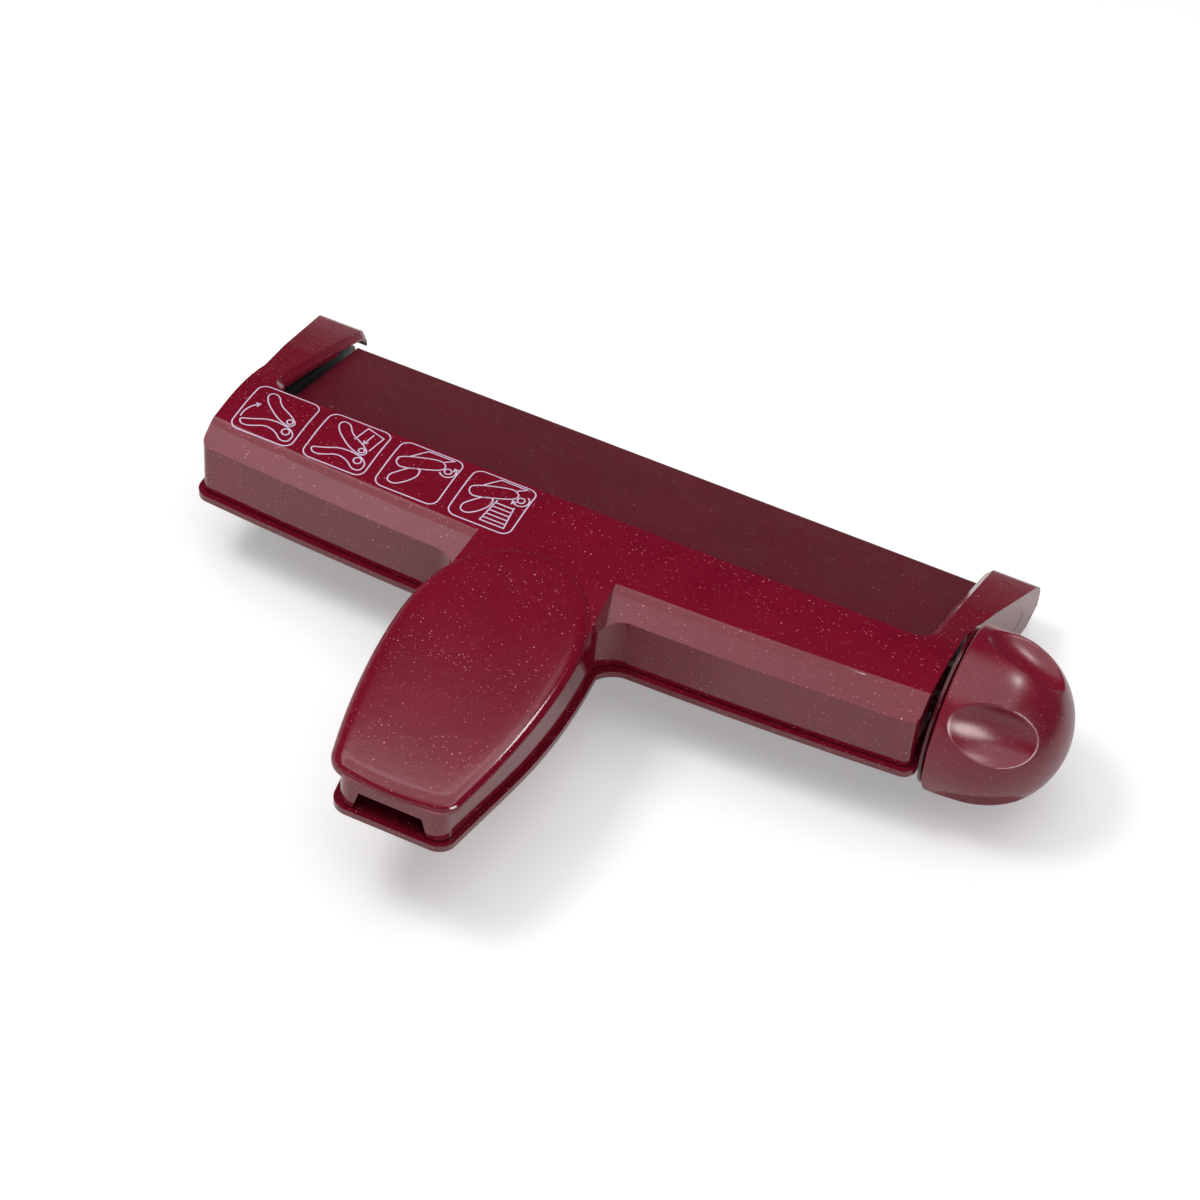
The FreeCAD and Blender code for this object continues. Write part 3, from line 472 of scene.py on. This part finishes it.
# ==== COLLAR ===================================================================================
# Burgundy disc between the head's right end and the knob, moulded with the sleeve that the shaft
# passes through. It is a little smaller than the knob.
# its colour is darker than the cover's: painted shade for the narrow gap between the head and the knob
collar_painted_shade = glitter_plastic("collar_painted_shade", colour(84, 10, 26), 0.20, share=0.2)
collar_low, collar_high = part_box("knob_collar")
knob_low, knob_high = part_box("knob")
collar_inside_knob = 0.0016
collar_r = (knob_high.z - knob_low.z) / 2 - collar_inside_knob
collar_long = collar_high.x - collar_low.x
collar_thick, collar_edge = 0.0012, 0.0005
sleeve_r, bore_r = 0.0044, 0.0031
disc = collar_long - collar_thick
profile = [(collar_long, bore_r), (0, bore_r), (0, sleeve_r), (disc, sleeve_r), (disc, collar_r)]
profile += bend(collar_long - collar_edge, collar_r - collar_edge, collar_edge, 0, quarter, 6)
profile += [(collar_long, bore_r)]
points, faces = lathe(profile, 160)
collar_middle = (collar_low + collar_high) / 2
place = Vector((collar_low.x, collar_middle.y, collar_middle.z))
collar = build("round_collar", [place + p for p in points], faces, collar_painted_shade, "base", "shell", 40)
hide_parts("knob_collar")

# ==== HINGE PINS ===============================================================================
# Stepped pins of the cover's own plastic, on which the cover swings. The thin tails sit in the end
# frames, and the ends are cut flush with the arms' slanted outer faces.
pin_burgundy = glitter_plastic("pin_burgundy", colour(110, 14, 34), 0.12)
pin_low, pin_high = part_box("hinge_pins")
pin_middle = (pin_low + pin_high) / 2
pin_r = (pin_high.z - pin_low.z) / 2
tail_r, tail_long = 0.0025, 0.003
pin_edge, pin_proud = 0.0001, 0.00012
arm_flare = 0.15
step_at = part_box("end_frame_right")[1].x - pin_middle.x
pin_end = pin_high.x - pin_middle.x + pin_proud
profile = [(step_at - tail_long, 0), (step_at - tail_long, tail_r), (step_at, tail_r), (step_at, pin_r),
           (pin_end, pin_r), (pin_end, pin_r - pin_edge), (pin_end, 0)]
points, faces = lathe(profile)
for p in points:
    # the flat end follows the arm, which spreads outwards to the rear
    if p.x > pin_end - 1e-6:
        p.x += arm_flare * p.y
# the left pin is the right one's mirror, so its faces are turned about
to_right = Matrix.Translation(pin_middle)
to_left = to_right @ Matrix.Scale(-1, 4, (1, 0, 0))
points, faces = placed((points, faces), [to_right, to_left])
half = len(faces) // 2
faces = faces[:half] + [tuple(reversed(face)) for face in faces[half:]]
pins = build("stepped_hinge_pins", points, faces, pin_burgundy, "base", "shell", 30)
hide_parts("hinge_pins")

# ==== HEAD COVER ===============================================================================
# One glossy moulding with glitter flakes makes the head, its two rear arms and the upper grip.
# It swings open on the hinge pins.
cover_burgundy = glitter_plastic("cover_burgundy", colour(117, 15, 37), 0.10)
dress("head_cover", cover_burgundy)

# ==== GRIP PAD =================================================================================
# Raised oval pad welded on the upper grip, of the cover's own plastic. Its rim is softly rounded
# and it overhangs the grip a little at the left.
pad_low, pad_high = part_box("grip_pad")
pad_middle = (pad_low.x + pad_high.x) / 2
front_bow, front_in, back_over = 0.0013, 0.0014, 0.0028
pad_front = pad_low.y + front_in
pad_back = pad_high.y + back_over
pad_long = pad_back - pad_front
half_left, half_right = 0.0290, 0.0264
end_left, end_right = 0.0204, 0.0180
widest_at, back_round, front_taper = 0.42, 2.4, 1.9
corner_r = 0.0052
rim_wide, rim_deep, skirt_deep = 0.0045, 0.0026, 0.0012
top_long, top_fall = 0.097, 0.0023
fall_even, fall_late = 0.45, 0.55
rows, columns, rim_steps = 96, 12, 9


def pad_half(t, half, end):
    # half width at a share t of the length, from the round back to the narrower front
    if t > widest_at:
        wide = half - (half - end) * ((t - widest_at) / (1 - widest_at)) ** front_taper
    else:
        wide = half * math.sqrt(max(0.0, 1 - (1 - t / widest_at) ** back_round))
    near = (1 - t) * pad_long
    if near < corner_r:
        wide -= corner_r - math.sqrt(corner_r ** 2 - (corner_r - near) ** 2)
    return wide


def pad_top(y):
    # the top falls gently towards the front
    t = min(0.0, y - pad_high.y) / top_long
    return pad_high.z + top_fall * (fall_even * t - fall_late * t * t)


# the pad's outline: down the left side, along the bowed front and up the right side
stations = [(1 - math.cos(math.pi * i / rows)) / 2 for i in range(rows + 1)]
left_side, right_side = [], []
for t in stations:
    y = pad_back - t * pad_long
    left_side.append(Vector((pad_middle - pad_half(t, half_left, end_left), y)))
    right_side.append(Vector((pad_middle + pad_half(t, half_right, end_right), y)))
front_edge = []
for c in range(1, columns):
    u = 2 * c / columns - 1
    spot = left_side[-1].lerp(right_side[-1], c / columns)
    front_edge.append(Vector((spot.x, spot.y - front_bow * (1 - u * u))))
loop = left_side + front_edge + list(reversed(right_side[1:]))
total = len(loop)
inward = []
for i in range(total):
    step = loop[(i + 1) % total] - loop[i - 1]
    inward.append(Vector((-step.y, step.x)).normalized())

# rings of points from the skirt up over the round rim
points, faces = [], []
for j in range(rim_steps + 2):
    a = quarter * max(j - 1, 0) / rim_steps
    below = rim_deep * (1 - math.sin(a)) + (skirt_deep if j == 0 else 0)
    for spot, way in zip(loop, inward):
        at = spot + way * rim_wide * (1 - math.cos(a))
        points.append(Vector((at.x, at.y, pad_top(at.y) - below)))
    if j:
        for i in range(total):
            k = (i + 1) % total
            faces.append(((j - 1) * total + i, (j - 1) * total + k, j * total + k, j * total + i))

# the top and the underside are filled by rows from the left side to the right
for level, under in ((rim_steps + 1, False), (0, True)):
    ring = list(range(level * total, (level + 1) * total))
    left_ring = ring[:rows + 1]
    right_ring = [ring[0]] + list(reversed(ring[rows + columns:]))
    front_ring = ring[rows:rows + columns + 1]
    before = None
    for i in range(rows + 1):
        row = [left_ring[i]]
        for c in range(1, columns):
            if i == rows:
                row.append(front_ring[c])
            elif i:
                at = points[left_ring[i]].lerp(points[right_ring[i]], c / columns)
                points.append(Vector((at.x, at.y, at.z if under else pad_top(at.y))))
                row.append(len(points) - 1)
            else:
                row.append(ring[0])
        row.append(right_ring[i])
        if before:
            for c in range(columns):
                # where a row runs out in a point, a face has fewer corners
                face = list(dict.fromkeys([before[c], before[c + 1], row[c + 1], row[c]]))
                if len(face) > 2:
                    faces.append(tuple(face) if under else tuple(reversed(face)))
        before = row
pad = build("grip_pad_detail", points, faces, cover_burgundy, "top", "shell", 60)
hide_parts("grip_pad")

# ==== PRINTED STEPS ============================================================================
# Four framed line drawings of how the tool is used, pad printed in pale lilac ink at the left of
# the head's top: open it, lay the sheet in, turn the knob one way, turn it back.
ink_lilac = grained("ink_lilac", colour(214, 196, 220), (0.86, 1.05), (0.30, 0.45), 0.0004)
cover_mesh = nodes["head_cover"].data
cover_tree = BVHTree.FromPolygons([v.co for v in cover_mesh.vertices],
                                  [tuple(f.vertices) for f in cover_mesh.polygons])
above_cover = 0.2
ink_step = 0.0005
ink_sunk, ink_proud = 0.00002, 0.00003
ink_points, ink_faces = [], []


def ink_line(path, width, closed):
    # a flat strip of ink along a path in metres, laid on the cover in short steps
    ends = path + path[:1] if closed else path
    path = []
    for a, b in zip(ends, ends[1:]):
        cuts = max(1, round((b - a).length / ink_step))
        path += [a + (b - a) * i / cuts for i in range(cuts)]
    if not closed:
        path.append(ends[-1])
    count = len(path)
    first = len(ink_points)
    for i, here in enumerate(path):
        before = path[i - 1] if i or closed else here
        after = path[(i + 1) % count] if i < count - 1 or closed else here
        a = (here - before).normalized() if (here - before).length else (after - here).normalized()
        b = (after - here).normalized() if (after - here).length else a
        across = Vector((-(a + b).y, (a + b).x)).normalized()
        reach = width / 2 / max(across.dot(Vector((-a.y, a.x))), 0.5)
        for side in (-1, 1):
            spot = here + side * reach * across
            hit = cover_tree.ray_cast(Vector((spot.x, spot.y, above_cover)), Vector((0, 0, -1)))[0]
            ink_points.append(hit - Vector((0, 0, ink_sunk)))
            ink_points.append(hit + Vector((0, 0, ink_proud)))
    for i in range(count if closed else count - 1):
        k, m = first + 4 * i, first + 4 * ((i + 1) % count)
        ink_faces.extend([(k + 1, k + 3, m + 3, m + 1), (k, m, m + 2, k + 2),
                          (k, k + 1, m + 1, m), (k + 2, m + 2, m + 3, k + 3)])
    if not closed:
        m = first + 4 * (count - 1)
        ink_faces.extend([(first, first + 2, first + 3, first + 1), (m, m + 1, m + 3, m + 2)])


def arc(x, y, radius, start, end, count=14):
    angles = [math.radians(start + (end - start) * i / count) for i in range(count + 1)]
    return [(x + radius * math.cos(a), y + radius * math.sin(a)) for a in angles]


def arrow_tip(path):
    # the two barbs of an arrow at the end of a path
    barb_long, barb_turn = 0.07, 0.6
    end, before = Vector(path[-1]), Vector(path[-3])
    back = (before - end).normalized() * barb_long
    one, other = [tuple(end + Matrix.Rotation(a, 2) @ back) for a in (barb_turn, -barb_turn)]
    return [one, tuple(end), other]


def softened(path):
    # a closed path with its corners cut twice
    for _ in range(2):
        path = [tuple(Vector(a).lerp(Vector(b), share))
                for a, b in zip(path, path[1:] + path[:1]) for share in (0.22, 0.78)]
    return path


def frame_path(left, bottom, wide, tall, corner):
    # an upright box with round corners, from its lower right corner round
    path = []
    for x, y, start in ((wide - corner, corner, -90), (wide - corner, tall - corner, 0),
                        (corner, tall - corner, 90), (corner, corner, 180)):
        path += arc(x, y, corner, start, start + 90, 6)
    return [Vector((left + x, bottom + y)) for x, y in path]


# outlines in shares of a frame's width and height
low_handle = softened([(0.07, 0.20), (0.14, 0.11), (0.26, 0.12), (0.48, 0.24), (0.66, 0.20), (0.80, 0.08),
                       (0.92, 0.10), (0.94, 0.24), (0.84, 0.34), (0.62, 0.38), (0.44, 0.36), (0.24, 0.26)])
top_handle = softened([(0.80, 0.36), (0.86, 0.46), (0.72, 0.58), (0.48, 0.70), (0.36, 0.88), (0.24, 0.90),
                       (0.20, 0.80), (0.30, 0.64), (0.56, 0.44)])
head = softened([(0.10, 0.66), (0.66, 0.88), (0.80, 0.78), (0.76, 0.66), (0.22, 0.44), (0.10, 0.52)])
grip = softened([(0.34, 0.50), (0.24, 0.38), (0.14, 0.26), (0.16, 0.14), (0.28, 0.12), (0.42, 0.24),
                 (0.52, 0.40), (0.50, 0.55)])
rollers = [arc(0.80, 0.26, 0.06, 0, 360), arc(0.76, 0.46, 0.045, 0, 360)]
wheel = arc(0.86, 0.70, 0.055, 0, 360)
turn_out = arc(0.86, 0.70, 0.12, -150, 60)
turn_back = list(reversed(turn_out))
sheet_up = [(0.24, 0.72), (0.42, 0.96), (0.84, 0.96), (0.70, 0.84)]
sheet_in = [(0.56, 0.62), (0.62, 0.94), (0.92, 0.84), (0.86, 0.50)]
lift_arrow = arc(0.40, 0.30, 0.34, 190, 125)
drop_arrow = [(0.76, 0.84), (0.75, 0.77), (0.74, 0.70), (0.72, 0.60)]
# the crimped sheet comes out with ribs across it
ribs = [[(0.56, 0.54), (0.50, 0.10), (0.88, 0.10), (0.84, 0.52)]]
ribs += [[(0.505 + 0.01 * k, 0.17 + 0.08 * k), (0.875 - 0.008 * k, 0.17 + 0.08 * k)] for k in range(5)]
drawings = (
    ([low_handle, top_handle] + rollers, [lift_arrow, arrow_tip(lift_arrow)]),
    ([low_handle, top_handle] + rollers, [sheet_in, drop_arrow, arrow_tip(drop_arrow)]),
    ([head, grip, wheel], [sheet_up, turn_out, arrow_tip(turn_out)]),
    ([head, grip, wheel], [sheet_up, turn_back, arrow_tip(turn_back)] + ribs))
box_wide, box_tall, box_corner = 0.0209, 0.0218, 0.003
line_wide = 0.00042
box_apart, box_drop = 0.0248, 0.0003
box_from_middle, box_from_rear = 0.1125, 0.0873
first_left = pin_middle.x - box_from_middle
first_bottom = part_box("head_cover")[1].y - box_from_rear
for k, (loops, strokes) in enumerate(drawings):
    left = first_left + box_apart * k
    bottom = first_bottom - box_drop * k
    ink_line(frame_path(left, bottom, box_wide, box_tall, box_corner), line_wide, True)
    for paths, closed in ((loops, True), (strokes, False)):
        for path in paths:
            spots = [Vector((left + x * box_wide, bottom + y * box_tall)) for x, y in path]
            if closed and (spots[0] - spots[-1]).length < 1e-6:
                spots.pop()
            ink_line(spots, line_wide, closed)
build("printed_steps", ink_points, ink_faces, ink_lilac, "top", "shell", 30)

# ==== CARRIERS =================================================================================
# Black nylon blocks in the cover's corners that hold the upper roller's sleeves. A screw up into
# the cover holds each of them.
dress("roller_carriers", frame_black)
soften("roller_carriers", 0.0002)

# ==== ROLLERS ==================================================================================
# Two wavy rollers of dark grey glass-filled nylon, slightly streaked along their length. Their ribs
# mesh and press the waves into the sheet.
roller_grey = grained("roller_grey", colour(86, 87, 91), (0.82, 1.2), (0.35, 0.5), 0.0008, stretch=18.0,
                      relief=(0.2, 0.0002))
dress("drive_roller", roller_grey)
dress("idler_roller", roller_grey)

# ==== STEEL ====================================================================================
# Ground steel shafts of the two rollers, with a spring clip on the lower one's left end and one at
# each side of the upper roller.
ground_steel = grained("ground_steel", colour(192, 193, 196), (0.88, 1.08), (0.22, 0.38), 0.00025,
                       stretch=0.25, metallic=1.0, relief=(0.15, 0.0001))
for name in ("drive_shaft", "idler_shaft", "drive_clip", "idler_clips"):
    dress(name, ground_steel)

# ==== SCREWS ===================================================================================
# Zinc-plated self-tapping pan-head screws with a cross recess: six up through the tray, four from
# inside through the end frames into the lower handle, and two up into the cover.


def islands(name):
    # lowest and highest corner of each separate solid of a node
    mesh = nodes[name].data
    root = {}

    def find(a):
        while root.setdefault(a, a) != a:
            a = root[a]
        return a

    keys = [tuple(round(c * 1e6) for c in v.co) for v in mesh.vertices]
    for face in mesh.polygons:
        spots = [find(keys[v]) for v in face.vertices]
        for a in spots[1:]:
            root[find(a)] = find(spots[0])
    groups = {}
    for vertex, key in zip(mesh.vertices, keys):
        groups.setdefault(find(key), []).append(vertex.co)
    return [(Vector([min(p[i] for p in group) for i in range(3)]),
             Vector([max(p[i] for p in group) for i in range(3)])) for group in groups.values()]


def screw(length, head_r, head_h, shank_r):
    # along +X: a pan head with a cross recess at 0, then a shank with a coarse thread
    pitch, thread_deep, per_pitch = 0.0009, 0.00022, 8
    slot_long, slot_half, slot_deep = 0.57 * head_r, 0.13 * head_r, 0.0008
    flat = 0.68
    neck, plain_end, blunt = 0.0002, 0.0008, 0.0003
    profile = [(0, head_r * share) for share in (0, 0.08, 0.16, 0.24, 0.32, 0.4, 0.48, 0.54, 0.6, flat)]
    top = len(profile)
    profile += [(head_h * 0.55 * (1 - math.cos(a)), head_r * (flat + (1 - flat) * math.sin(a)))
                for a in np.linspace(0, quarter, 6)[1:]]
    profile += [(head_h, head_r), (head_h, shank_r)]
    thread = len(profile)
    rings = int((length - head_h - plain_end) / pitch * per_pitch)
    profile += [(head_h + neck + i * pitch / per_pitch, shank_r) for i in range(rings)]
    profile += [(length - blunt, shank_r * 0.7), (length, 0)]
    steps = 32
    points, faces = lathe(profile, steps)
    for i, (along, radius) in enumerate(profile):
        for j in range(steps):
            p = points[i * steps + j]
            if i < top and radius < slot_long and min(abs(p.y), abs(p.z)) < slot_half:
                p.x += slot_deep * (1 - radius / head_r / 0.75)
            if thread <= i < thread + rings:
                phase = (along / pitch - j / steps) % 1
                less = thread_deep * min(1, 2 * abs(phase - 0.5) * 1.6)
                p.y *= 1 - less / shank_r
                p.z *= 1 - less / shank_r
    return points, faces


def screws_for(name, turn, body):
    # stands in for a node of screws whose heads are all at the lower end of their own turned axis
    turns = []
    # the screws of one node are all alike, so the last one's size serves for all
    for low, high in islands(name):
        middle = (low + high) / 2
        size = high - low
        way = turn(middle)
        start = middle - way * max(size) / 2
        turns.append(Matrix.Translation(start) @ way.to_track_quat("X", "Z").to_matrix().to_4x4())
    points, faces = placed(screw(max(size), min(size) / 2, head_h=0.0014, shank_r=0.00125), turns)
    made = build(name + "_detail", points, faces, ground_steel, body, "steel", 30)
    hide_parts(name)


screws_for("base_screws", lambda middle: Vector((0, 0, 1)), "base")
screws_for("carrier_screws", lambda middle: Vector((0, 0, 1)), "top")
screws_for("handle_screws", lambda middle: Vector((math.copysign(1, middle.x - pin_middle.x), 0, 0)), "base")

# ==== KNOB =====================================================================================
# Blunt dome with five oval thumb hollows, moulded in the same burgundy with a satin skin. It is
# pressed on the driven roller's shaft with a brass insert.
knob_burgundy = glitter_plastic("knob_burgundy", colour(120, 16, 40), 0.26, strength=0.6, wave=0.04)
knob_r = (knob_high.y - knob_low.y) / 2
knob_long = knob_high.x - knob_low.x
knob_dome = 0.96 * knob_r
shoulder = 0.74 * knob_r
rim = 0.0009
# the dome is a shoulder of a smaller radius that runs smoothly into a blunter tip
dome_at = knob_long - knob_dome
lift = knob_r - shoulder
reach = knob_dome - shoulder
centre = (reach ** 2 - lift ** 2) / (2 * reach)
tip_r = knob_dome - centre
meet = quarter - math.atan2(lift, -centre)
profile = bend(rim, knob_r - rim, rim, -quarter, 0, 7)
profile += [(along, knob_r) for along in np.linspace(rim, dome_at, 24)[1:]]
profile += bend(dome_at, lift, shoulder, 0, meet, 60)[1:]
profile += bend(dome_at + centre, 0, tip_r, meet, quarter, 44)[1:]

hollows = 5
hollow_turn = math.radians(51)
hollow_lean = math.radians(24)
hollow_long, hollow_r, hollow_deep = 0.0229, 0.0116, 0.0040
hollow_at = (0.0136, 0.0250)
lean_sin, lean_cos = math.sin(hollow_lean), math.cos(hollow_lean)
egg_out = hollow_r - hollow_deep
egg = (hollow_at[0] + egg_out * lean_sin, hollow_at[1] + egg_out * lean_cos)
hollow_soft = 0.0005
plain_tip_r = 0.004


def hollowed(along, radius, angle):
    # radius left under the egg shapes that press the thumb hollows, with a soft rim
    for k in range(hollows):
        a = angle - hollow_turn - 2 * math.pi / hollows * k
        if math.cos(a) <= 0:
            continue
        # along the egg and out of the knob, each as a start and a change per metre of radius;
        # where these meet the egg is the root of two * r * r + 2 * one * r + none
        u, du = (along - egg[0]) * lean_cos + egg[1] * lean_sin, -math.cos(a) * lean_sin
        n, dn = (along - egg[0]) * lean_sin - egg[1] * lean_cos, math.cos(a) * lean_cos
        two = (du / hollow_long) ** 2 + (dn / hollow_r) ** 2 + (math.sin(a) / hollow_r) ** 2
        one = u * du / hollow_long ** 2 + n * dn / hollow_r ** 2
        none = (u / hollow_long) ** 2 + (n / hollow_r) ** 2 - 1
        square = one ** 2 - two * none
        if square < 0:
            continue
        cut = (-one - math.sqrt(square)) / two
        mix = min(max(0.5 + 0.5 * (cut - radius) / hollow_soft, 0), 1)
        radius = cut + (radius - cut) * mix - hollow_soft * mix * (1 - mix)
    return max(radius, 0)


steps = 480
points, faces = lathe(profile, steps)
for i, (along, radius) in enumerate(profile):
    for j in range(steps):
        a = 2 * math.pi * j / steps
        left = hollowed(along, radius, a) if along > 2 * rim and radius > plain_tip_r else radius
        points[i * steps + j] = Vector((along, -left * math.sin(a), left * math.cos(a)))

# behind, a ring-shaped hollow leaves a boss round the brass insert
knob_wall = 0.010
ring_r = knob_r - knob_wall
boss_r, hub_r, shaft_r = 0.0085, 0.006, 0.0025
ring_end, hub_end, shaft_end = 0.0115, 0.015, 0.020
edge_r = 0.0004
back = [(0, knob_r - rim), (0, ring_r + edge_r), (edge_r, ring_r), (ring_end - edge_r, ring_r),
        (ring_end, ring_r - edge_r), (ring_end, boss_r + edge_r), (ring_end - edge_r, boss_r),
        (edge_r, boss_r), (0, boss_r - edge_r), (0, hub_r), (hub_end, hub_r), (hub_end, shaft_r),
        (shaft_end, shaft_r), (shaft_end, 0)]
more, rings = lathe(back, 96)
first = len(points)
points += more
faces += [tuple(first + v for v in reversed(face)) for face in rings]
knob_middle = (knob_low + knob_high) / 2
place = Vector((knob_low.x, knob_middle.y, knob_middle.z))
knob = build("dome_knob", [place + p for p in points], faces, knob_burgundy, "drive", "shell", 50)
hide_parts("knob")

# ==== HUB ======================================================================================
# Turned brass insert that is moulded in the knob and pressed on the shaft, so that the knob turns
# the lower roller.
turned_brass = grained("turned_brass", colour(214, 180, 106), (0.9, 1.05), (0.25, 0.4), 0.0003,
                       stretch=0.25, metallic=1.0)
dress("knob_hub", turned_brass)
